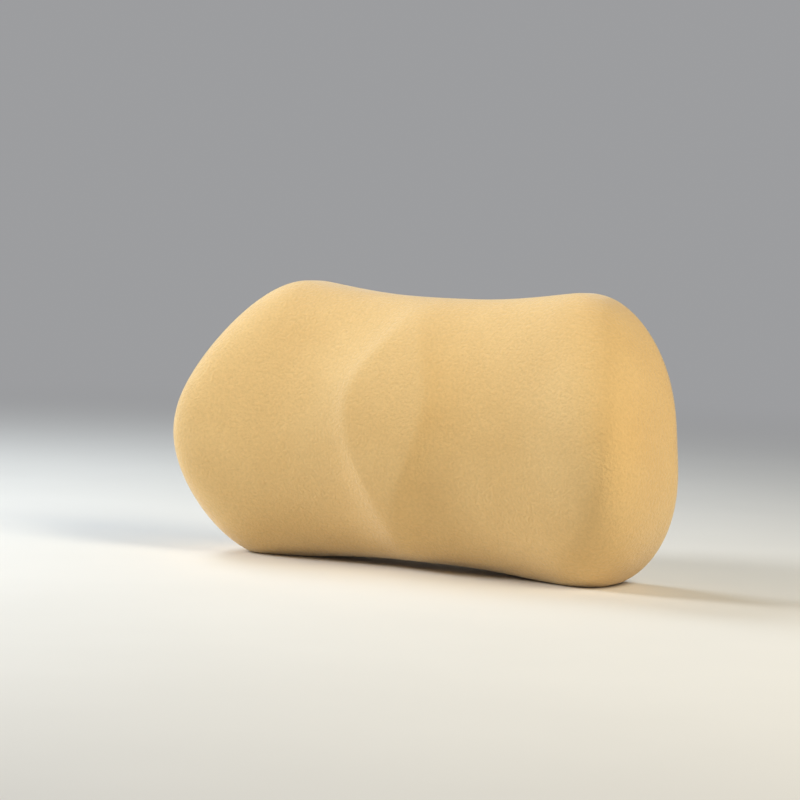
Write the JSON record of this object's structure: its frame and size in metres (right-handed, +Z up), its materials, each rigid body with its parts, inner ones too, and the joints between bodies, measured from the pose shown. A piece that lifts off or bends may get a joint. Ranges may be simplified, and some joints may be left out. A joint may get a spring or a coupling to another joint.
{
  "type": "lumbar support cushion",
  "caption": "Contoured lumbar support cushion: a waisted foam block with a raised centre ridge and side wings, in a stretch cover with a zip on its flat back.",
  "frame": {"origin": "centre of the object's footprint box on the surface it stands on", "axes": "+X along the cushion's width, +Y out of its flat back panel, +Z up; the contoured front faces -Y"},
  "size_m": [0.4458, 0.127, 0.2363],
  "materials": {
    "memory_foam": "open-cell polyurethane foam with a moulded skin",
    "liner_fabric": "thin white knitted liner",
    "cover_fabric": "brushed stretch fabric, warm sand yellow, matte with a fine pebbled nap",
    "thread": "spun polyester thread",
    "zip_tape": "woven zip tape",
    "zip_plastic": "moulded acetal teeth and stops",
    "zip_metal": "nickel-plated die-cast zinc, satin"
  },
  "bodies": {
    "cushion": {"foam_core": "memory_foam", "liner_front": "liner_fabric", "liner_back": "liner_fabric", "liner_seam": "thread", "cover_front": "cover_fabric", "cover_back_upper": "cover_fabric", "cover_back_lower": "cover_fabric", "perimeter_topstitch": "thread", "zip_tape_upper": "zip_tape", "zip_tape_lower": "zip_tape", "zip_teeth_upper": "zip_plastic", "zip_teeth_lower": "zip_plastic", "zip_bottom_stop": "zip_plastic", "zip_top_stops": "zip_plastic", "zip_stitching_upper": "thread", "zip_stitching_lower": "thread", "zip_bartacks": "thread"},
    "slider": {"zip_slider": "zip_metal"},
    "pull_tab": {"zip_pull_tab": "zip_metal"}
  },
  "joints": [
    {"name": "zip_slide", "type": "slide", "parent": "cushion", "child": "slider", "axis": [-1, 0, 0], "range_m": [0, 0.3074]},
    {"name": "pull_tab_hinge", "type": "hinge", "parent": "slider", "child": "pull_tab", "pos_m": [0.1567, 0.06216, 0.0705], "axis": [0, 0, -1], "range_deg": [0, 160]}
  ]
}
